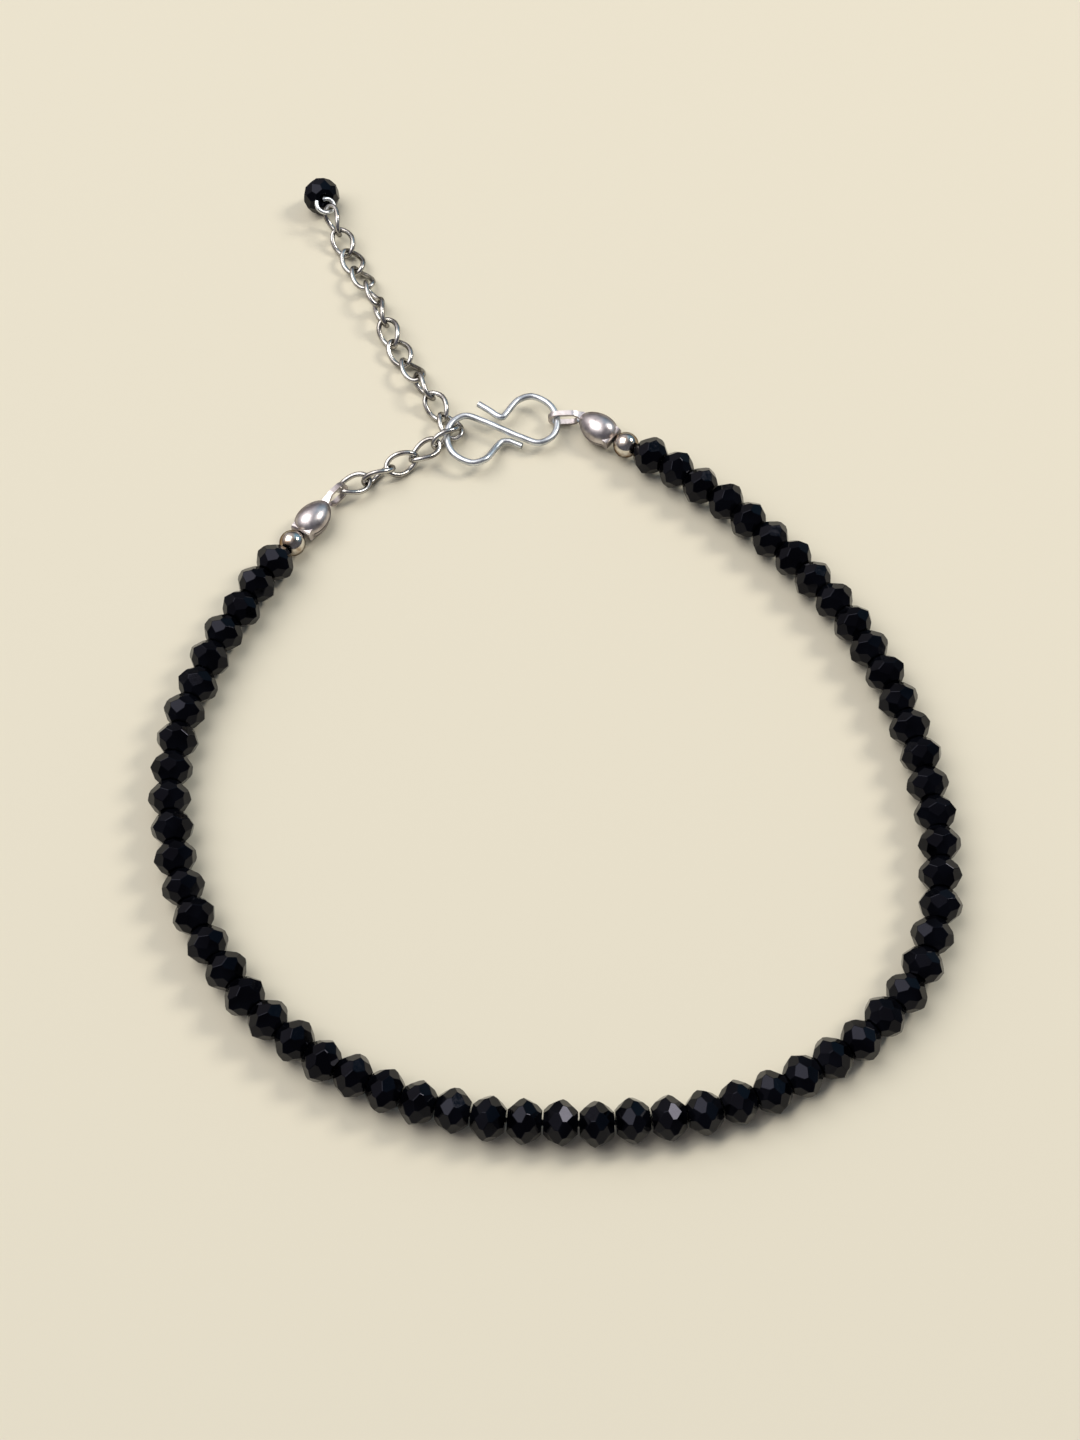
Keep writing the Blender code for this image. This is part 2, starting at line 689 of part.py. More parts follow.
def build():
    clear_scene()
    glass = make_material("black_cut_glass", (0.008, 0.008, 0.011), 0.08, 0.0)
    silver = make_material("polished_silver", (0.80, 0.78, 0.75), 0.16, 1.0)
    satin = make_material("satin_silver", (0.72, 0.70, 0.68), 0.28, 1.0)
    steel = make_material("steel_chain", (0.62, 0.60, 0.58), 0.24, 1.0)
    white_metal = make_material("bright_wire", (0.86, 0.87, 0.88), 0.2, 1.0)
    root = make_empty("anklet")
    clasp = make_empty("clasp", root)
    extension = make_empty("extension_chain", root)

    make_hook(white_metal, clasp)
    right_wire = hook_point(*HANG_PLACE)
    left_wire = hook_point(*(-share for share in HOOK_SHAPE[4]))

    # Right clamshell, whose eye holds the hook's right loop
    beyond = heading_vector(RIGHT_SHELL["eye"]) * (HOOK_WIRE / 2 + TOUCH + EYE_SLACK + SHEET / 2)
    right_hinge = hinge_behind(RIGHT_SHELL, right_wire + beyond)
    right_frame = frame_along(right_hinge, heading_vector(RIGHT_SHELL["heading"]), RIGHT_SHELL["roll"])
    make_clamshell("clamshell_right", right_frame, RIGHT_SHELL, satin, clasp)

    # Links from the hook's left loop down to the left clamshell
    hooked_along = heading_vector(JOINING_LINKS[0][0])
    hooked_middle = left_wire + Vector((*HOOKED_LINK, 0.0))
    joints = lay_links(hooked_middle + hooked_along * link_pitch() / 2, JOINING_LINKS, True)
    heights = joint_heights(JOINING_LINKS)
    heights[:2] = [HOOK_LEFT_HEIGHT - drop for drop in HOOKED_LINK_DROPS]
    heights[-1] = shell_half_height(LEFT_SHELL["roll"]) + eye_end_from_hinge(LEFT_SHELL).z - EYE_SLACK
    for joint, height in zip(joints, heights):
        joint.z = height
    number = len(JOINING_LINKS)
    for (far, near), (_, roll) in zip(zip(joints, joints[1:]), JOINING_LINKS):
        make_link(f"chain_link_{number:02d}", (near + far) / 2, far - near, roll, steel, extension)
        number -= 1

    # Left clamshell, whose eye holds the last of those links
    last_heading = heading_vector(JOINING_LINKS[-1][0])
    last_middle = (joints[-2] + joints[-1]) / 2
    strip_end = last_middle - last_heading * (link_inner() / 2 - TOUCH - 2 * EYE_SLACK - SHEET / 2)
    left_hinge = hinge_behind(LEFT_SHELL, strip_end)
    left_frame = frame_along(left_hinge, heading_vector(LEFT_SHELL["heading"]), LEFT_SHELL["roll"])
    make_clamshell("clamshell_left", left_frame, LEFT_SHELL, satin, clasp)

    # The free end, from the hook's link to the end bead
    hooked_across = Vector((-hooked_along.y, hooked_along.x, 0.0))
    start = hooked_middle + hooked_along * FREE_LINK_START[0] + hooked_across * FREE_LINK_START[1]
    free_joints = lay_links(start, FREE_LINKS, False)
    free_heights = joint_heights(FREE_LINKS)
    free_heights[0] = HOOK_LEFT_HEIGHT - FREE_LINK_DROP
    for joint, height in zip(free_joints, free_heights):
        joint.z = height

    # The end bead and its pin: the eye's near side sits inside the last link
    last_heading = FREE_LINKS[-1][0]
    turn = Matrix.Rotation(math.radians(last_heading - 90), 4, "Z")
    axis, along, _ = pin_axes()
    bead_height = end_bead_height()
    inside = LINK_WIRE / 2 + TOUCH + PIN_WIRE / 2
    eye_edge = pin_eye_middle() - along * PIN_EYE_RADIUS
    joint_from_bead = eye_edge + along * (inside - (LINK_LENGTH - LINK_WIRE - link_pitch()) / 2)
    rise = bead_height + joint_from_bead.z - free_joints[-2].z
    run = math.sqrt(max(link_pitch() ** 2 - rise ** 2, (0.3 * link_pitch()) ** 2))
    free_joints[-1] = free_joints[-2] + heading_vector(last_heading) * run + Vector((0, 0, rise))
    bead_middle = free_joints[-1] - turn @ joint_from_bead
    for index, (_, roll) in enumerate(FREE_LINKS):
        near, far = free_joints[index], free_joints[index + 1]
        number = len(JOINING_LINKS) + index + 1
        make_link(f"chain_link_{number:02d}", (near + far) / 2, far - near, roll, steel, extension)
    pin_frame = Matrix.Translation(bead_middle) @ turn
    points, widths = pin_path()
    pin = wire("end_pin", points, PIN_WIRE, 6, white_metal, extension, widths=widths)
    pin.matrix_local = pin_frame
    make_end_bead(frame_along(bead_middle, turn @ axis), glass, extension)

    # The string from one knot to the other, through both balls
    ends = []
    for hinge, side in ((right_hinge, RIGHT_SHELL), (left_hinge, LEFT_SHELL)):
        direction = heading_vector(side["string"])
        knot = hinge + heading_vector(side["heading"]) * knot_depth()
        ball = hinge - direction * (TOUCH + BALL_DIAMETER / 2)
        first_bead = ball - direction * (BALL_DIAMETER / 2 + TOUCH + BEAD_THICKNESS / 2)
        first_bead.z = BEAD_DIAMETER / 2 + FLOOR_GAP
        ball.z = (2 * hinge.z + first_bead.z) / 3
        ends.append((knot, hinge.copy(), ball, first_bead))
    middle = [in_loop(x, y, BEAD_DIAMETER / 2 + FLOOR_GAP) for x, y in STRING_ROUTE]
    route = list(ends[0]) + middle + list(reversed(ends[1]))
    curve = smooth_curve(route)
    for name, distance in (("end_ball_right", ball_from_knot()),
                           ("end_ball_left", curve_length(curve) - ball_from_knot())):
        point, direction = point_at(curve, distance)
        make_ball(name, frame_along(point, direction), silver, clasp)
    make_string(curve, glass, root)
    centre_on_floor(root)


build()
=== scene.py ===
import math

import bmesh
import bpy
from mathutils import Matrix, Vector


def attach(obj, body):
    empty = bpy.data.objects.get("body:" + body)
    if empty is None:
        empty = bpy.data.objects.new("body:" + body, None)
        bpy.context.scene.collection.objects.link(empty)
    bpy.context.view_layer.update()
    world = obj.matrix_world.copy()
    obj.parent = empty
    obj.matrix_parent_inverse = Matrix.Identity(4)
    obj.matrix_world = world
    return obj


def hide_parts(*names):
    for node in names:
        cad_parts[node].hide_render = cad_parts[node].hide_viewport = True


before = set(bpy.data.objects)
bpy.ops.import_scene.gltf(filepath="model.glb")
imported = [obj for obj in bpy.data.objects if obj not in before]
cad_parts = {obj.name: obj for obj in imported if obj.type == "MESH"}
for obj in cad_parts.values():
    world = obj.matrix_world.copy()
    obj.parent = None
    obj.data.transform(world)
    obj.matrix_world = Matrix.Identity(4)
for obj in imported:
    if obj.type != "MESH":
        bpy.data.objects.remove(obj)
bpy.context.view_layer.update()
print("frame loaded:", len(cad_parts), "CAD nodes")

mm = 0.001
floorShift = Vector((-1.08219, -13.02376, -0.00943))  # from the hook's own layout to the row frame, mm
touch = 0.12  # what touching pieces keep between them, mm


def alongFrame(origin, direction, roll=0.0):
    # X runs along direction, Y starts level, then both turn by roll degrees
    xAxis = Vector(direction).normalized()
    yAxis = Vector((0, 0, 1)).cross(xAxis).normalized()
    zAxis = xAxis.cross(yAxis)
    turned = Matrix((xAxis, yAxis, zAxis)).transposed().to_4x4()
    return Matrix.Translation(origin) @ turned @ Matrix.Rotation(math.radians(roll), 4, "X")


def headingVector(degrees, rise=0.0):
    flat = math.cos(math.radians(rise))
    angle = math.radians(degrees)
    return Vector((math.cos(angle) * flat, math.sin(angle) * flat, math.sin(math.radians(rise))))


def smoothCurve(points, steps):
    # centripetal curve through the points
    points = [Vector(p) for p in points]
    ends = [points[0] * 2 - points[1]] + points + [points[-1] * 2 - points[-2]]
    curve = []
    for a, b, c, d in zip(ends, ends[1:], ends[2:], ends[3:]):
        t1 = math.sqrt((b - a).length)
        t2 = t1 + math.sqrt((c - b).length)
        t3 = t2 + math.sqrt((d - c).length)
        for step in range(steps):
            t = t1 + (t2 - t1) * step / steps
            ab = a.lerp(b, t / t1)
            bc = b.lerp(c, (t - t1) / (t2 - t1))
            cd = c.lerp(d, (t - t2) / (t3 - t2))
            abc = ab.lerp(bc, t / t2)
            bcd = bc.lerp(cd, (t - t1) / (t3 - t1))
            curve.append(abc.lerp(bcd, (t - t1) / (t2 - t1)))
    curve.append(points[-1])
    return curve


def curveLength(curve):
    return sum((b - a).length for a, b in zip(curve, curve[1:]))


def pointAt(curve, distance):
    for a, b in zip(curve, curve[1:]):
        step = (b - a).length
        if distance <= step or b is curve[-1]:
            return a.lerp(b, distance / step), (b - a).normalized()
        distance -= step


def asPiece(name, bm, material, replaced):
    # from a bmesh in mm to a piece at the origin, riding on the one body
    bmesh.ops.scale(bm, vec=(mm, mm, mm), verts=bm.verts)
    mesh = bpy.data.meshes.new(name)
    bm.to_mesh(mesh)
    bm.free()
    piece = bpy.data.objects.new(name, mesh)
    bpy.context.scene.collection.objects.link(piece)
    mesh.materials.append(material)
    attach(piece, "root")
    if replaced:
        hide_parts(*replaced)
    return piece


def shadeRound(piece, angle):
    piece.data.shade_smooth()
    piece.data.set_sharp_from_angle(angle=math.radians(angle))


def addPart(bm, extra, matrix=Matrix()):
    # joins a second bmesh to the first, in its own place
    bmesh.ops.transform(extra, matrix=matrix, verts=extra.verts)
    carrier = bpy.data.meshes.new("carrier")
    extra.to_mesh(carrier)
    extra.free()
    bm.from_mesh(carrier)
    bpy.data.meshes.remove(carrier)


def wireMesh(points, diameter, sides, cyclic=False, widths=None, endEdge=0.0):
    # a bevelled curve turned into a mesh; the rims of its cut ends are broken by endEdge
    data = bpy.data.curves.new("wire", "CURVE")
    data.dimensions = "3D"
    data.bevel_depth = diameter / 2
    data.bevel_resolution = sides // 2 - 2
    data.use_fill_caps = True
    spline = data.splines.new("POLY")
    spline.points.add(len(points) - 1)
    for index, point in enumerate(points):
        spline.points[index].co = (*point, 1.0)
        spline.points[index].radius = widths[index] if widths else 1.0
    spline.use_cyclic_u = cyclic
    holder = bpy.data.objects.new("wire", data)
    bpy.context.scene.collection.objects.link(holder)
    bpy.context.view_layer.update()
    drawn = holder.evaluated_get(bpy.context.evaluated_depsgraph_get())
    mesh = bpy.data.meshes.new_from_object(drawn)
    bm = bmesh.new()
    bm.from_mesh(mesh)
    bpy.data.objects.remove(holder, do_unlink=True)
    bpy.data.meshes.remove(mesh)
    bmesh.ops.remove_doubles(bm, verts=bm.verts, dist=diameter * 0.002)
    bmesh.ops.recalc_face_normals(bm, faces=bm.faces)
    if endEdge:
        caps = [face for face in bm.faces if len(face.verts) > 4]
        rims = list({edge for face in caps for edge in face.edges})
        bmesh.ops.bevel(bm, geom=rims, offset=endEdge, offset_type="OFFSET", affect="EDGES",
                        segments=2, profile=0.5, material=-1)
    return bm


def hexColour(code):
    # sRGB hex to the linear values that the shaders take
    values = []
    for start in (1, 3, 5):
        share = int(code[start:start + 2], 16) / 255
        values.append(share / 12.92 if share <= 0.04045 else ((share + 0.055) / 1.055) ** 2.4)
    return (*values, 1.0)


def addNode(tree, kind, settings, links):
    # one node, with its attributes or socket values, and the sockets that feed it
    node = tree.nodes.new(kind)
    for key, value in settings.items():
        if hasattr(node, key):
            setattr(node, key, value)
        else:
            node.inputs[key].default_value = value
    for key, source in links.items():
        tree.links.new(source, node.inputs[key])
    return node


def newMaterial(name, settings):
    material = bpy.data.materials.new(name)
    material.use_nodes = True
    shader = material.node_tree.nodes["Principled BSDF"]
    for key, value in settings.items():
        shader.inputs[key].default_value = value
    return material, material.node_tree, shader


def spread(node, low, high):
    # a two-stop ramp between a pair of values or colours
    ramp = node.color_ramp
    ramp.elements[0].position, ramp.elements[1].position = low[0], high[0]
    ramp.elements[0].color, ramp.elements[1].color = low[1], high[1]


# Pressed and cut lead-free glass, dyed through: jet black, mirror-flat facets with polishing haze
def makeCutGlass():
    material, tree, shader = newMaterial("jetCutGlass", {
        "IOR": 1.52, "Specular IOR Level": 0.2, "Specular Tint": hexColour("#c2c4de")})
    place = addNode(tree, "ShaderNodeTexCoord", {}, {})
    perBead = addNode(tree, "ShaderNodeTexNoise", {"Scale": 420.0, "Detail": 0.0},
                      {"Vector": place.outputs["Object"]})  # one patch is about a bead wide
    tone = addNode(tree, "ShaderNodeValToRGB", {}, {"Fac": perBead.outputs["Fac"]})
    spread(tone, (0.35, hexColour("#010102")), (0.65, hexColour("#05060a")))
    tree.links.new(tone.outputs["Color"], shader.inputs["Base Color"])
    haze = addNode(tree, "ShaderNodeTexNoise", {"Scale": 2600.0, "Detail": 3.0},
                   {"Vector": place.outputs["Object"]})  # 0.4 mm clouds of polishing haze
    rough = addNode(tree, "ShaderNodeMapRange", {"From Min": 0.3, "From Max": 0.7, "To Min": 0.035,
                                                 "To Max": 0.11}, {"Value": haze.outputs["Fac"]})
    tree.links.new(rough.outputs["Result"], shader.inputs["Roughness"])
    lap = addNode(tree, "ShaderNodeTexNoise", {"Scale": 9000.0, "Detail": 2.0, "Roughness": 0.6},
                  {"Vector": place.outputs["Object"]})  # lapping marks, drawn at 0.1 mm so they show
    bump = addNode(tree, "ShaderNodeBump", {"Strength": 0.05, "Distance": 0.00001},
                   {"Height": lap.outputs["Fac"]})
    tree.links.new(bump.outputs["Normal"], shader.inputs["Normal"])
    return material


# Waxed two-ply nylon: dull black, with a faint sheen along the plies
def makeThreadNylon():
    material, tree, shader = newMaterial("waxedNylon", {"Roughness": 0.62, "Sheen Weight": 0.25})
    place = addNode(tree, "ShaderNodeTexCoord", {}, {})
    fibre = addNode(tree, "ShaderNodeTexNoise", {"Scale": 14000.0, "Detail": 3.0},
                    {"Vector": place.outputs["Object"]})  # fibres, 0.07 mm apart
    tone = addNode(tree, "ShaderNodeValToRGB", {}, {"Fac": fibre.outputs["Fac"]})
    spread(tone, (0.3, hexColour("#08080a")), (0.7, hexColour("#1b1a1d")))
    tree.links.new(tone.outputs["Color"], shader.inputs["Base Color"])
    bump = addNode(tree, "ShaderNodeBump", {"Strength": 0.5, "Distance": 0.00002},
                   {"Height": fibre.outputs["Fac"]})
    tree.links.new(bump.outputs["Normal"], shader.inputs["Normal"])
    return material


# Plated metal: a tint, a haze that varies, fine rubbing marks and a little tarnish in patches
def makePlate(name, tint, tarnish, edge, lowRough, highRough, markScale, markDepth):
    material, tree, shader = newMaterial(name, {"Metallic": 1.0, "Specular Tint": hexColour(edge)})
    place = addNode(tree, "ShaderNodeTexCoord", {}, {})
    patches = addNode(tree, "ShaderNodeTexNoise", {"Scale": 700.0, "Detail": 3.0, "Roughness": 0.6},
                      {"Vector": place.outputs["Object"]})  # tarnish clouds, 1.4 mm
    tone = addNode(tree, "ShaderNodeValToRGB", {}, {"Fac": patches.outputs["Fac"]})
    spread(tone, (0.36, hexColour(tarnish)), (0.58, hexColour(tint)))
    tree.links.new(tone.outputs["Color"], shader.inputs["Base Color"])
    haze = addNode(tree, "ShaderNodeTexNoise", {"Scale": 3200.0, "Detail": 4.0},
                   {"Vector": place.outputs["Object"]})  # 0.3 mm clouds of handling haze
    rough = addNode(tree, "ShaderNodeMapRange", {"From Min": 0.3, "From Max": 0.7, "To Min": lowRough,
                                                 "To Max": highRough}, {"Value": haze.outputs["Fac"]})
    tree.links.new(rough.outputs["Result"], shader.inputs["Roughness"])
    marks = addNode(tree, "ShaderNodeTexNoise", {"Scale": markScale, "Detail": 4.0, "Roughness": 0.65},
                    {"Vector": place.outputs["Object"]})
    bump = addNode(tree, "ShaderNodeBump", {"Strength": 0.3, "Distance": markDepth},
                   {"Height": marks.outputs["Fac"]})
    tree.links.new(bump.outputs["Normal"], shader.inputs["Normal"])
    return material


cutGlass = makeCutGlass()
waxedNylon = makeThreadNylon()
# rhodium-plated brass balls, tumbled: mirror bright and slightly warm
ballPlate = makePlate("tumbledSilverPlate", "#d8d4cc", "#a08a74", "#5c544c", 0.09, 0.18, 5200.0, 0.000006)
# pressed brass sheet, silver plated and brushed: satin, warm pink-grey
shellPlate = makePlate("satinSilverPlate", "#cdc7c7", "#a39b9b", "#7c7878", 0.28, 0.4, 8000.0, 0.00001)
# drawn copper wire, silver plated: bright white, with fine drawing marks
wirePlate = makePlate("drawnSilverWire", "#e4e8ec", "#c0c5ca", "#5a5e64", 0.3, 0.42, 7000.0, 0.00001)
# steel curb chain, nickel plated: bright, with darker grey tarnish in patches
chainPlate = makePlate("nickelPlatedSteel", "#cccac6", "#908c88", "#4c4a48", 0.16, 0.28, 6000.0, 0.00001)
print("materials made")


rondelle = {
    # mm; a main facet loses mainSlope of radius for each mm along the bore, as far as mainTop, and
    # the smaller end facets start at sideTop
    "radius": 2.0, "halfThick": 1.43, "facets": 8, "mainSlope": 0.45, "sideTop": 0.5, "mainTop": 1.0,
    "hole": 0.5, "boreSides": 16, "boreEdge": 0.08, "edge": 0.028, "turn": 152.2, "count": 60,
    # small offsets along the string, in mm and degrees, and how fast they change, in radians a bead
    "sway": 0.09, "swayStep": 2.4, "lean": 1.3, "leanStep": 3.7, "leanStart": 0.5,
    "drawnUp": 1.035,  # strung tight, the beads all but touch
}


def cutPlane(bm, normal, distance):
    # grinds one flat facet: the far side goes, and the cut is closed
    geometry = bm.verts[:] + bm.edges[:] + bm.faces[:]
    cut = bmesh.ops.bisect_plane(bm, geom=geometry, dist=1e-6, plane_no=normal, clear_outer=True,
                                 plane_co=normal * distance / normal.length_squared)
    rim = [item for item in cut["geom_cut"] if isinstance(item, bmesh.types.BMEdge)]
    if rim:
        bmesh.ops.edgeloop_fill(bm, edges=rim)


def cutRondelle():
    size = rondelle
    step = 2 * math.pi / size["facets"]
    halfCos = math.cos(step / 2)
    slope = size["mainSlope"]
    mainReach = size["radius"] - size["radius"] * (1 - halfCos) / 2
    sideRadius = (mainReach - size["sideTop"] * slope) / halfCos
    topFlat = (mainReach - size["mainTop"] * slope) * halfCos
    endSlope = (sideRadius - topFlat) / (size["mainTop"] - size["sideTop"])
    endReach = sideRadius + size["sideTop"] * endSlope
    bm = bmesh.new()
    blank = Matrix.Diagonal((2 * size["halfThick"], 3 * size["radius"], 3 * size["radius"], 1))
    bmesh.ops.create_cube(bm, size=1.0, matrix=blank)
    for side in (1, -1):
        for index in range(size["facets"]):
            mainTurn = step * (index + (0 if side > 0 else 0.5))
            endTurn = mainTurn + step / 2
            cutPlane(bm, Vector((side * slope, math.cos(mainTurn), math.sin(mainTurn))), mainReach)
            cutPlane(bm, Vector((side * endSlope, math.cos(endTurn), math.sin(endTurn))), endReach)
    bmesh.ops.remove_doubles(bm, verts=bm.verts, dist=0.002)
    bmesh.ops.dissolve_limit(bm, angle_limit=math.radians(0.5), verts=bm.verts, edges=bm.edges)
    bmesh.ops.bevel(bm, geom=bm.edges[:], offset=size["edge"], offset_type="OFFSET", affect="EDGES",
                    segments=1, profile=0.5, material=-1)
    bm.normal_update()
    tables = [face for face in bm.faces if abs(face.normal.x) > 0.999 and face.calc_area() > 1.0]
    bmesh.ops.delete(bm, geom=tables, context="FACES_ONLY")
    rims = {side: [e for e in bm.edges if e.is_boundary and e.verts[0].co.x * side > 0] for side in (1, -1)}
    bores = []
    for side in (1, -1):
        bores.append(drillRing(bm, side * size["halfThick"], size["hole"] + size["boreEdge"]))
        bmesh.ops.bridge_loops(bm, edges=rims[side] + bores[-1])
    deep = size["halfThick"] - size["boreEdge"]
    inner = [drillRing(bm, side * deep, size["hole"]) for side in (1, -1)]
    bmesh.ops.bridge_loops(bm, edges=bores[0] + inner[0])
    bmesh.ops.bridge_loops(bm, edges=inner[0] + inner[1])
    bmesh.ops.bridge_loops(bm, edges=inner[1] + bores[1])
    bmesh.ops.recalc_face_normals(bm, faces=bm.faces)
    return bm


def drillRing(bm, place, radius):
    across = Matrix.Translation((place, 0, 0)) @ Matrix.Rotation(math.pi / 2, 4, "Y")
    ring = bmesh.ops.create_circle(bm, segments=rondelle["boreSides"], radius=radius, matrix=across)
    return list({edge for vert in ring["verts"] for edge in vert.link_edges})


# mm, but taper, knotPlace and foldRounding are shares of the width, the length and the hinge's height
shell = {"length": 4.45, "width": 3.2, "height": 2.8, "taper": 0.32, "sheet": 0.28, "seam": 0.14,
         "hingeWidth": 2.2, "hingeDepth": 1.1, "hingeHeight": 1.25, "threadHole": 0.9, "tongueWidth": 0.56,
         "eyeHeight": 1.9, "eyeDrop": 0.15, "eyeGap": 0.12, "knotPlace": 0.42,
         # in sheets: where the strip starts inside the cup, and where the slit starts past the hinge
         "stripRoot": 2.6, "slitStart": 2.2,
         "flare": (1.9, 1.5),  # the strip's first two rows are this much wider
         "foldRounding": 0.3, "brokenEdge": 0.03, "around": 40, "rows": 24, "drillSides": 28}
ball = {"diameter": 2.6, "hole": 1.0, "rim": 0.05, "around": 48, "rows": 24}
string = {
    "thread": 0.6, "knot": 1.1, "plyPitch": 1.3, "sample": 0.16,
    "plyWidth": 0.5, "plyOffset": 0.24,  # shares of the thread
    "plySides": 6, "routeSteps": 12,
    # from the knot in the right clamshell, round the loop, to the knot in the left one
    "route": [
        (5.07, 21.26, 1.469), (6.459, 20.01, 1.469), (7.643, 19.226, 1.65), (10.02, 17.653, 2.011),
        (18.665, 10.708, 2.011), (29.417, -3.001, 2.011), (34.625, -18.301, 2.011),
        (34.667, -32.716, 2.011), (30.096, -41.84, 2.011), (18.721, -49.712, 2.011),
        (6.52, -52.402, 2.011), (-9.923, -51.134, 2.011), (-23.671, -44.162, 2.011),
        (-32.463, -32.407, 2.011), (-35.305, -18.146, 2.011), (-32.61, -6.125, 2.011),
        (-27.048, 4.814, 2.011), (-25.537, 7.231, 1.651), (-24.785, 8.435, 1.471),
        (-23.794, 10.02, 1.471),
    ],
}
route = smoothCurve(string["route"], string["routeSteps"])
routeLength = curveLength(route)
ballFromKnot = shell["knotPlace"] * shell["length"] + touch + ball["diameter"] / 2
firstBead = ballFromKnot + ball["diameter"] / 2 + touch
beadPitch = (routeLength - 2 * firstBead) / rondelle["count"]


def makeRondelles():
    template = bpy.data.meshes.new("rondelleTemplate")
    one = cutRondelle()
    one.to_mesh(template)
    print("one rondelle:", len(one.faces), "faces")
    one.free()
    bm = bmesh.new()
    for index in range(rondelle["count"]):
        point, direction = pointAt(route, firstBead + beadPitch * (index + 0.5))
        sway = Matrix.Translation((0, rondelle["sway"] * math.sin(rondelle["swayStep"] * index), 0))
        leanWave = math.sin(rondelle["leanStep"] * index + rondelle["leanStart"])
        lean = Matrix.Rotation(math.radians(rondelle["lean"]) * leanWave, 4, "Z")
        turn = Matrix.Rotation(math.radians(rondelle["turn"] * index), 4, "X")
        fill = Matrix.Diagonal((rondelle["drawnUp"], 1, 1, 1))
        bead = bmesh.new()
        bead.from_mesh(template)
        addPart(bm, bead, alongFrame(point, direction) @ sway @ lean @ turn @ fill)
    bpy.data.meshes.remove(template)
    asPiece("rondelles", bm, cutGlass, ["bead_string"])


def makeThread():
    # two plies laid round each other, and the knot in each clamshell
    bm = bmesh.new()
    samples = int(routeLength / string["sample"])
    for ply in (0, 1):
        points = []
        for sample in range(samples + 1):
            distance = routeLength * sample / samples
            point, direction = pointAt(route, min(distance, routeLength - 1e-6))
            angle = 360 * distance / string["plyPitch"] + 180 * ply
            lay = alongFrame(point, direction, angle)
            points.append(lay @ Vector((0, string["thread"] * string["plyOffset"], 0)))
        addPart(bm, wireMesh(points, string["thread"] * string["plyWidth"], string["plySides"]))
    for end in (0, -1):
        knot = bmesh.new()
        bmesh.ops.create_icosphere(knot, subdivisions=3, radius=string["knot"] / 2)
        addPart(bm, knot, Matrix.Translation(string["route"][end]))
    piece = asPiece("stringingThread", bm, waxedNylon, ["bead_string"])
    shadeRound(piece, 50)


makeRondelles()
makeThread()
print("rondelles strung")


def makeBall(name, distance, node):
    point, direction = pointAt(route, distance)
    radius = ball["diameter"] / 2
    start = math.asin(ball["hole"] / 2 / radius)
    bm = bmesh.new()
    profile = []
    for step in range(ball["rows"] + 1):
        angle = start + (math.pi - 2 * start) * step / ball["rows"]
        profile.append(bm.verts.new((radius * math.cos(angle), radius * math.sin(angle), 0)))
    edges = [bm.edges.new(pair) for pair in zip(profile, profile[1:] + profile[:1])]
    bmesh.ops.spin(bm, geom=profile + edges, cent=(0, 0, 0), axis=(1, 0, 0), dvec=(0, 0, 0),
                   angle=2 * math.pi, steps=ball["around"], use_merge=True, use_duplicate=False)
    bmesh.ops.remove_doubles(bm, verts=bm.verts, dist=0.001)
    bmesh.ops.recalc_face_normals(bm, faces=bm.faces)
    rims = [edge for edge in bm.edges if edge.is_manifold and edge.calc_face_angle() > math.radians(50)]
    bmesh.ops.bevel(bm, geom=rims, offset=ball["rim"], offset_type="OFFSET", affect="EDGES", segments=2,
                    profile=0.5, material=-1)
    bmesh.ops.transform(bm, matrix=alongFrame(point, direction), verts=bm.verts)
    piece = asPiece(name, bm, ballPlate, [node])
    shadeRound(piece, 60)


makeBall("ballRight", ballFromKnot, "end_ball_right")
makeBall("ballLeft", routeLength - ballFromKnot, "end_ball_left")

headPin = {
    "bead": Vector((-24.861, 52.633, 1.756)), "heading": 113.0, "rise": 35.0, "eyeSlope": 25.0,
    "eyeRoll": 20.0, "wire": 0.45, "sides": 16, "headWide": 1.6, "eyeRadius": 0.74,
    "tailRadius": 1.3, "neck": 0.05, "bendStart": 0.15, "wireEdge": 0.05,
    # the head's outline from its far face: mm short of the bead, and width as a share of headWide
    "head": [(0.35, 0.72), (0.2975, 0.95), (0.1, 1.0), (0.0, 0.9)],
    # angles in degrees: the eye's first one and its sweep, then the tail's sweep
    "eyeStart": 105.0, "eyeSweep": 200.0, "tailSweep": 115.0, "tailSpread": 1.5,
    "shankSteps": 6, "eyeSteps": 44, "tailSteps": 24,
}


def pinAxes():
    rise, slope, roll = (math.radians(headPin[key]) for key in ("rise", "eyeSlope", "eyeRoll"))
    axis = Vector((0, -math.cos(rise), math.sin(rise)))
    along = Vector((0, math.cos(slope), math.sin(slope)))
    across = Vector((math.cos(roll), math.sin(roll) * math.sin(slope), -math.sin(roll) * math.cos(slope)))
    return axis, along, across


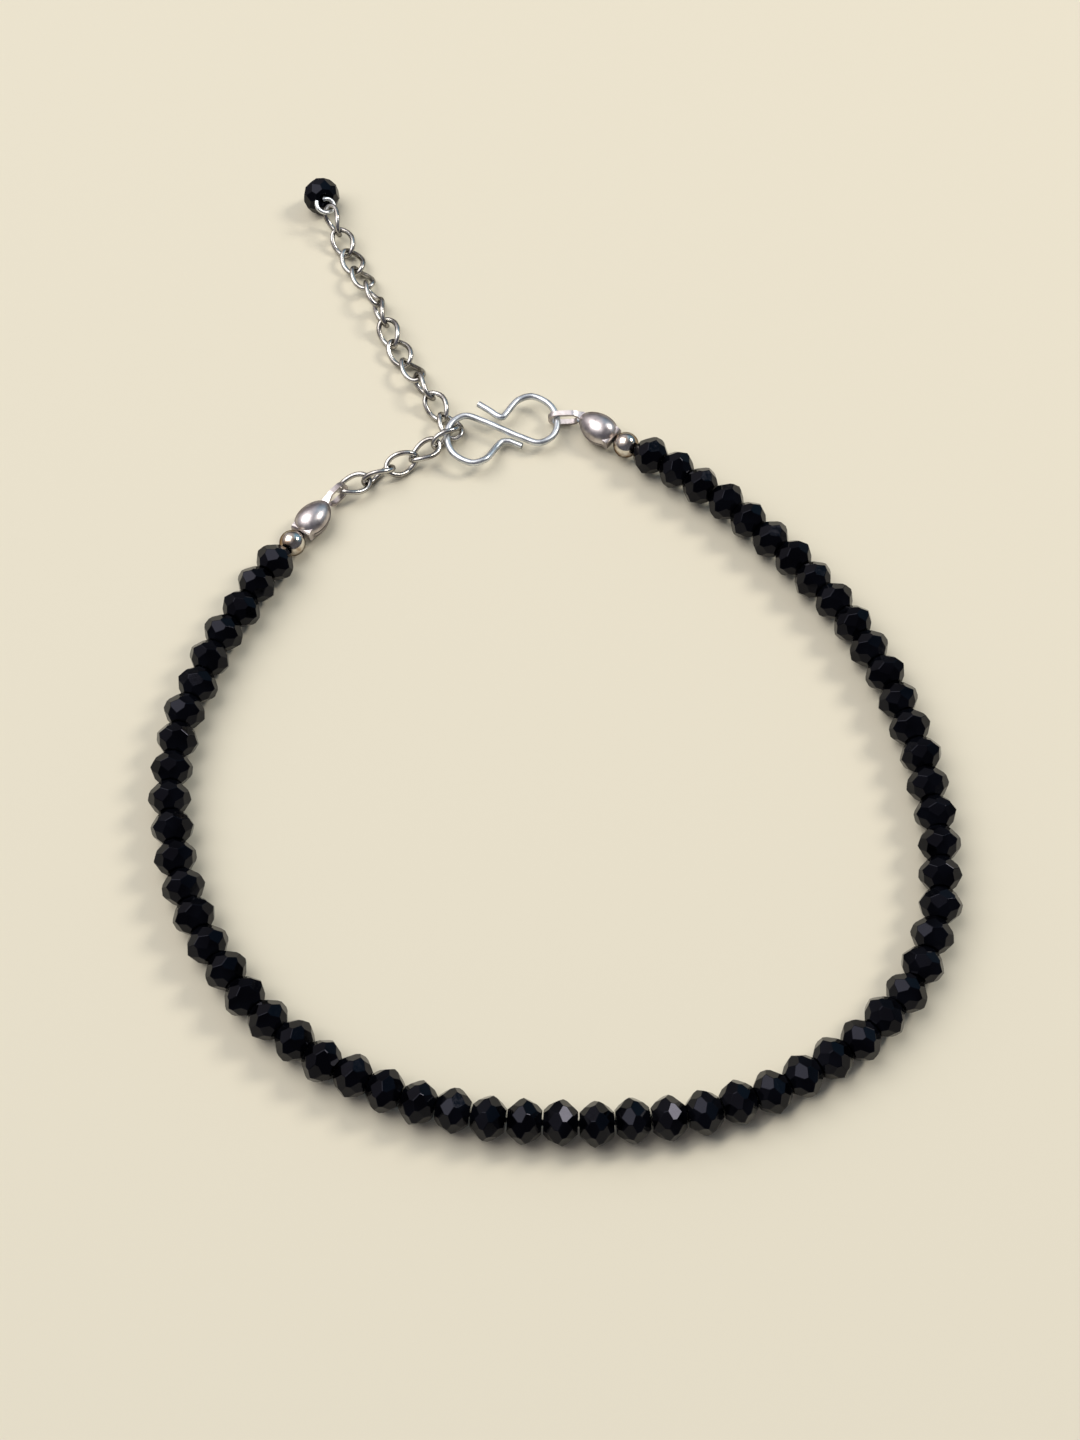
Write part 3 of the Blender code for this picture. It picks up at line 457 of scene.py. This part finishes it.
def makeDrop():
    axis, along, across = pinAxes()
    turn = Matrix.Rotation(math.radians(headPin["heading"] - 90), 4, "Z")
    half = rondelle["halfThick"]
    bead = cutRondelle()
    bmesh.ops.transform(bead, matrix=alongFrame(headPin["bead"], turn @ axis), verts=bead.verts)
    asPiece("dropRondelle", bead, cutGlass, ["end_bead"])

    middle = axis * (half + touch + headPin["wire"] / 2) - along * headPin["eyeRadius"]
    head = -half - touch
    flare = headPin["headWide"] / headPin["wire"]
    points = [axis * (head - before) for before, _ in headPin["head"]] + [axis * (head + headPin["neck"])]
    widths = [share * flare for _, share in headPin["head"]] + [1.0]
    shank = 2 * half + touch - headPin["bendStart"]
    for step in range(1, headPin["shankSteps"] + 1):
        points.append(axis * (head + headPin["neck"] + shank * step / headPin["shankSteps"]))
    for step in range(headPin["eyeSteps"] + 1):
        share = step / headPin["eyeSteps"]
        angle = math.radians(headPin["eyeStart"] - headPin["eyeSweep"] * share)
        points.append(middle + (across * math.cos(angle) + along * math.sin(angle)) * headPin["eyeRadius"])
    for step in range(1, headPin["tailSteps"] + 1):
        share = step / headPin["tailSteps"]
        wider = min(1.0, headPin["tailSpread"] * share)
        radius = headPin["eyeRadius"] + (headPin["tailRadius"] - headPin["eyeRadius"]) * wider
        angle = math.radians(headPin["eyeStart"] - headPin["eyeSweep"] - headPin["tailSweep"] * share)
        points.append(middle + (across * math.cos(angle) + along * math.sin(angle)) * radius)
    widths += [1.0] * (len(points) - len(widths))
    bm = wireMesh(points, headPin["wire"], headPin["sides"], widths=widths, endEdge=headPin["wireEdge"])
    bmesh.ops.transform(bm, matrix=Matrix.Translation(headPin["bead"]) @ turn, verts=bm.verts)
    piece = asPiece("headPinWire", bm, wirePlate, ["end_pin"])
    shadeRound(piece, 40)


makeDrop()
print("balls and drop made")


hook = {
    "centre": (-3.85, 34.35), "length": 11.86, "wire": 0.66, "leftHeight": 1.71, "rightHeight": 1.3,
    "wireEdge": 0.07, "sides": 20, "steps": 10,
    # shares of half the length, from the middle out through one loop, then the two ends
    "loop": [(0.0, 0.0), (0.34, -0.17), (0.68, -0.285), (0.93, -0.11), (1.0, 0.215), (0.875, 0.57),
             (0.54, 0.765)],
    "upperEnd": [(0.3, 0.68), (0.17, 0.525), (0.08, 0.375), (0.0, 0.275), (-0.09, 0.3), (-0.215, 0.4),
                 (-0.44, 0.56)],
    "lowerEnd": [(-0.3, -0.68), (-0.2, -0.52), (-0.11, -0.33), (0.0, -0.18), (0.13, -0.165),
                 (0.26, -0.215), (0.36, -0.265)],
    # how far the lower end passes under the crossing, in wires and their gap
    "dip": [0.0, 0.35, 0.8, 1.0, 1.0, 1.0, 1.0],
}


def hookPoint(x, y, dip=0.0):
    half = (hook["length"] - hook["wire"]) / 2
    height = hook["leftHeight"] + (hook["rightHeight"] - hook["leftHeight"]) * (x + 1) / 2
    drop = dip * (hook["wire"] + touch)
    return Vector((hook["centre"][0] + x * half, hook["centre"][1] + y * half, height - drop)) + floorShift


def makeHook():
    lower = [hookPoint(x, y, dip) for (x, y), dip in zip(reversed(hook["lowerEnd"]), reversed(hook["dip"]))]
    lower += [hookPoint(-x, -y) for x, y in reversed(hook["loop"][1:])]
    upper = [hookPoint(x, y) for x, y in hook["loop"] + hook["upperEnd"]]
    line = smoothCurve(lower + upper, hook["steps"])
    bm = wireMesh(line, hook["wire"], hook["sides"], endEdge=hook["wireEdge"])
    piece = asPiece("sHookWire", bm, wirePlate, ["s_hook"])
    shadeRound(piece, 40)


makeHook()


link = {
    "length": 3.9, "width": 2.65, "wire": 0.52, "twist": 60.0, "segments": 40, "sides": 12,
    # middle x, y, z in mm, then heading, rise and roll in degrees, from the left clamshell on
    "lie": [
        (-19.821, 14.586, 1.263, 21.00, 0.35, 177.00), (-17.393, 15.823, 1.271, 33.00, 0.00, 114.00),
        (-15.046, 17.233, 1.211, 29.00, -2.50, 51.00), (-12.765, 18.737, 1.296, 37.80, 6.02, -12.00),
        (-10.702, 20.534, 1.391, 44.30, -2.09, -75.00), (-10.300, 22.133, 0.945, 119.30, 1.44, 20.00),
        (-11.676, 24.502, 1.157, 121.00, 7.40, -34.00), (-13.087, 26.850, 1.335, 121.00, 0.00, -95.00),
        (-14.415, 29.245, 1.099, 117.00, -9.80, -155.00), (-15.701, 31.664, 0.927, 119.00, 2.70, 170.00),
        (-16.878, 34.133, 1.162, 112.00, 7.10, 145.00), (-17.815, 36.706, 1.333, 108.00, 0.00, 98.00),
        (-18.860, 39.230, 1.280, 117.00, -2.21, 60.00), (-20.083, 41.682, 1.038, 116.00, -7.88, 24.00),
        (-21.196, 44.183, 0.824, 112.00, -1.00, 2.00), (-22.289, 46.695, 1.052, 115.00, 10.41, -20.00),
        (-23.369, 49.117, 1.786, 113.00, 20.62, -72.00),
    ],
}


def makeLinks():
    halfLong = (link["length"] - link["wire"]) / 2
    halfWide = (link["width"] - link["wire"]) / 2
    ring = []
    for step in range(link["segments"]):
        angle = 2 * math.pi * (step + 0.5) / link["segments"]
        x = halfLong * math.cos(angle)
        turn = math.radians(link["twist"]) * x / (2 * halfLong)
        across = halfWide * math.sin(angle)
        ring.append(Vector((x, across * math.cos(turn), across * math.sin(turn))))
    for index, (x, y, z, heading, rise, roll) in enumerate(link["lie"]):
        bm = wireMesh(ring, link["wire"], link["sides"], cyclic=True)
        place = alongFrame(Vector((x, y, z)), headingVector(heading, rise), roll)
        bmesh.ops.transform(bm, matrix=place, verts=bm.verts)
        number = f"{index + 1:02d}"
        piece = asPiece(f"curbLink{number}", bm, chainPlate, [f"chain_link_{number}"])
        shadeRound(piece, 60)


makeLinks()
print("hook and links made")


def makeEgg(length, width, height):
    bm = bmesh.new()
    bmesh.ops.create_uvsphere(bm, u_segments=shell["around"], v_segments=shell["rows"], radius=0.5,
                              matrix=Matrix.Rotation(math.pi / 2, 4, "Y"))
    for vert in bm.verts:
        taper = 1 - shell["taper"] * vert.co.x
        vert.co = Vector((vert.co.x * length, vert.co.y * width * taper, vert.co.z * height * taper))
    return bm


def makeBlock(length, width, height, rounding, side):
    bm = bmesh.new()
    bmesh.ops.create_cube(bm, size=1.0, matrix=Matrix.Diagonal((length, width, height, 1.0)))
    edges = [edge for edge in bm.edges if abs((edge.verts[0].co - edge.verts[1].co).normalized().y) > 0.9
             and edge.verts[0].co.x * side > 0]
    bmesh.ops.bevel(bm, geom=edges, offset=rounding, offset_type="OFFSET", affect="EDGES", segments=6,
                    profile=0.5, material=-1)
    return bm


def eyeStrip(turn, reach):
    # the strip leaves the upper cup, curls over into the eye and comes back below
    sheet = shell["sheet"]
    radius = (shell["eyeHeight"] - sheet) / 2
    straight = reach - sheet - 2 * radius
    near = shell["length"] + shell["eyeGap"] + sheet / 2 + radius
    cup = (shell["seam"] + sheet) / 2
    path = [(shell["length"] - shell["stripRoot"] * sheet, cup), (shell["length"], cup)]
    # each arc of the curl: its middle, its first angle and its sweep in degrees
    for centre, start, sweep in ((near, 120, 30), (near + straight, 90, 180), (near, 270, 60)):
        steps = max(sweep // 10, 1)
        for step in range(steps + 1):
            angle = math.radians(start - sweep * step / steps)
            path.append((centre + radius * math.cos(angle), radius * math.sin(angle) - shell["eyeDrop"]))
    pivot = Matrix.Translation((shell["length"], 0, 0))
    swing = pivot @ Matrix.Rotation(math.radians(turn), 4, "Z") @ pivot.inverted()
    bm = bmesh.new()
    rows = []
    for index, (x, z) in enumerate(path):
        before, after = Vector(path[max(index - 1, 0)]), Vector(path[min(index + 1, len(path) - 1)])
        along = (after - before).normalized()
        side = Vector((-along.y, along.x)) * sheet / 2
        wide = shell["tongueWidth"] * (shell["flare"][index] if index < len(shell["flare"]) else 1.0) / 2
        row = []
        for y, offset in ((-wide, side), (wide, side), (wide, -side), (-wide, -side)):
            spot = Vector((x + offset.x, y, z + offset.y))
            row.append(bm.verts.new(swing @ spot if index >= len(shell["flare"]) else spot))
        rows.append([bm.edges.new((row[n], row[(n + 1) % 4])) for n in range(4)])
    for row, following in zip(rows, rows[1:]):
        bmesh.ops.bridge_loops(bm, edges=row + following)
    for row in (rows[0], rows[-1]):
        bmesh.ops.edgeloop_fill(bm, edges=row)
    bmesh.ops.recalc_face_normals(bm, faces=bm.faces)
    return bm


def looseObject(name, bm, place=Matrix()):
    bmesh.ops.transform(bm, matrix=place, verts=bm.verts)
    mesh = bpy.data.meshes.new(name)
    bm.to_mesh(mesh)
    bm.free()
    item = bpy.data.objects.new(name, mesh)
    bpy.context.scene.collection.objects.link(item)
    return item


def makeClamshell(name, hinge, heading, roll, turn, reach, node):
    sheet = shell["sheet"]
    middle = Matrix.Translation((shell["length"] / 2, 0, 0))
    body = looseObject("shellBody", makeEgg(shell["length"], shell["width"], shell["height"]), middle)
    fold = makeBlock(shell["hingeDepth"], shell["hingeWidth"], shell["hingeHeight"],
                     shell["foldRounding"] * shell["hingeHeight"], -1)
    hollow = makeEgg(shell["length"] - 2 * sheet, shell["width"] - 2 * sheet, shell["height"] - 2 * sheet)
    drill = bmesh.new()
    bmesh.ops.create_cone(drill, cap_ends=True, segments=shell["drillSides"],
                          radius1=shell["threadHole"] / 2, radius2=shell["threadHole"] / 2,
                          depth=2 * shell["hingeDepth"],
                          matrix=Matrix.Rotation(math.pi / 2, 4, "Y"))
    slit = makeBlock(2 * shell["length"], 2 * shell["width"], shell["seam"], 0.1 * shell["seam"], -1)
    slitPlace = Matrix.Translation((shell["slitStart"] * sheet + shell["length"], 0, 0))
    steps = [
        ("UNION", looseObject("shellFold", fold, Matrix.Translation((shell["hingeDepth"] / 2, 0, 0)))),
        ("DIFFERENCE", looseObject("shellHollow", hollow, middle)),
        ("DIFFERENCE", looseObject("shellDrill", drill)),
        ("DIFFERENCE", looseObject("shellSlit", slit, slitPlace)),
        ("UNION", looseObject("shellTongue", eyeStrip(turn, reach))),
    ]
    for operation, cutter in steps:
        modifier = body.modifiers.new(cutter.name, "BOOLEAN")
        modifier.operation, modifier.object, modifier.solver = operation, cutter, "EXACT"
    bpy.context.view_layer.update()
    drawn = body.evaluated_get(bpy.context.evaluated_depsgraph_get())
    mesh = bpy.data.meshes.new_from_object(drawn)
    bm = bmesh.new()
    bm.from_mesh(mesh)
    bpy.data.meshes.remove(mesh)
    for item in [body] + [cutter for _, cutter in steps]:
        bpy.data.objects.remove(item, do_unlink=True)
    bmesh.ops.remove_doubles(bm, verts=bm.verts, dist=0.001)
    bmesh.ops.dissolve_degenerate(bm, edges=bm.edges, dist=0.001)
    place = alongFrame(hinge, headingVector(heading), roll)
    bmesh.ops.transform(bm, matrix=place, verts=bm.verts)
    piece = asPiece(name, bm, shellPlate, [node])
    shadeRound(piece, 32)
    rounded = piece.modifiers.new("brokenEdges", "BEVEL")
    rounded.limit_method, rounded.angle_limit = "ANGLE", math.radians(45)
    rounded.width, rounded.segments = shell["brokenEdge"] * mm, 2


# hinge in mm, then heading, roll and the eye's own turn in degrees, and the eye's reach in mm
makeClamshell("clamshellRight", Vector((6.459, 20.01, 1.469)), 138.0, -6.0, 42.0, 3.3, "clamshell_right")
makeClamshell("clamshellLeft", Vector((-24.785, 8.435, 1.471)), 58.0, -8.0, -8.0, 2.7, "clamshell_left")
print("clamshells made")


def makeFloor():
    bm = bmesh.new()
    bmesh.ops.create_grid(bm, x_segments=1, y_segments=1, size=1.5)
    mesh = bpy.data.meshes.new("paleFloor")
    bm.to_mesh(mesh)
    bm.free()
    floor = bpy.data.objects.new("paleFloor", mesh)
    bpy.context.scene.collection.objects.link(floor)
    material, tree, shader = newMaterial("creamPaper", {"Roughness": 0.8, "Base Color": hexColour("#d6d0bc")})
    mesh.materials.append(material)


def softbox(name, place, size, power, colour):
    data = bpy.data.lights.new(name, "AREA")
    data.shape, data.size, data.energy, data.color = "SQUARE", size, power, hexColour(colour)[:3]
    lamp = bpy.data.objects.new(name, data)
    lamp.location = place
    lamp.rotation_euler = (-Vector(place)).to_track_quat("-Z", "Y").to_euler()
    bpy.context.scene.collection.objects.link(lamp)


def makeWorld():
    # a studio tent: bright towards the upper left behind the piece, blue behind its right, dark
    # round the camera; each wash has its direction, then where it starts and ends, with colours
    world = bpy.data.worlds.new("studioTent")
    world.use_nodes = True
    bpy.context.scene.world = world
    tree = world.node_tree
    background = tree.nodes["Background"]
    place = addNode(tree, "ShaderNodeTexCoord", {}, {})
    washes = []
    for toward, low, high in (
        ((-0.5, 0.3, 0.81), (0.5, (0.17, 0.17, 0.2, 1)), (0.92, (1.2, 1.12, 1.16, 1))),
        ((0.62, 0.5, 0.6), (0.76, (0.0, 0.0, 0.0, 1)), (0.97, (0.14, 0.42, 0.62, 1))),
    ):
        axis = addNode(tree, "ShaderNodeVectorMath", {"operation": "DOT_PRODUCT"},
                       {0: place.outputs["Generated"]})
        axis.inputs[1].default_value = toward
        wash = addNode(tree, "ShaderNodeValToRGB", {}, {"Fac": axis.outputs["Value"]})
        spread(wash, low, high)
        washes.append(wash.outputs["Color"])
    both = addNode(tree, "ShaderNodeVectorMath", {"operation": "ADD"}, {0: washes[0], 1: washes[1]})
    tree.links.new(both.outputs["Vector"], background.inputs["Color"])
    background.inputs["Strength"].default_value = 0.7


# the photo's view: degrees above the floor, and mm from the hook's layout point at lookHeight
view = {"elevation": 60.5, "away": 207.0, "lookHeight": 2.0, "lens": 55.0, "sensor": 36.0}


def makeCamera():
    look = Vector((0, 0, view["lookHeight"])) + floorShift
    elevation = math.radians(view["elevation"])
    back = Vector((0, -math.cos(elevation), math.sin(elevation)))
    data = bpy.data.cameras.new("camera")
    data.lens, data.sensor_width = view["lens"], view["sensor"]
    data.clip_start, data.clip_end = 0.01, 10.0
    camera = bpy.data.objects.new("camera", data)
    camera.location = (look + back * view["away"]) * mm
    camera.rotation_euler = (-back).to_track_quat("-Z", "Y").to_euler()
    bpy.context.scene.collection.objects.link(camera)
    bpy.context.scene.camera = camera


makeFloor()
# place and side in metres, then watts
softbox("keySoftbox", (0.55, 0.25, 0.55), 0.22, 3.0, "#fff6ea")
softbox("topSoftbox", (-0.42, 0.16, 0.75), 0.76, 5.3, "#fffdf8")
makeWorld()
makeCamera()
bpy.context.scene.view_settings.view_transform = "Standard"
print("studio set")
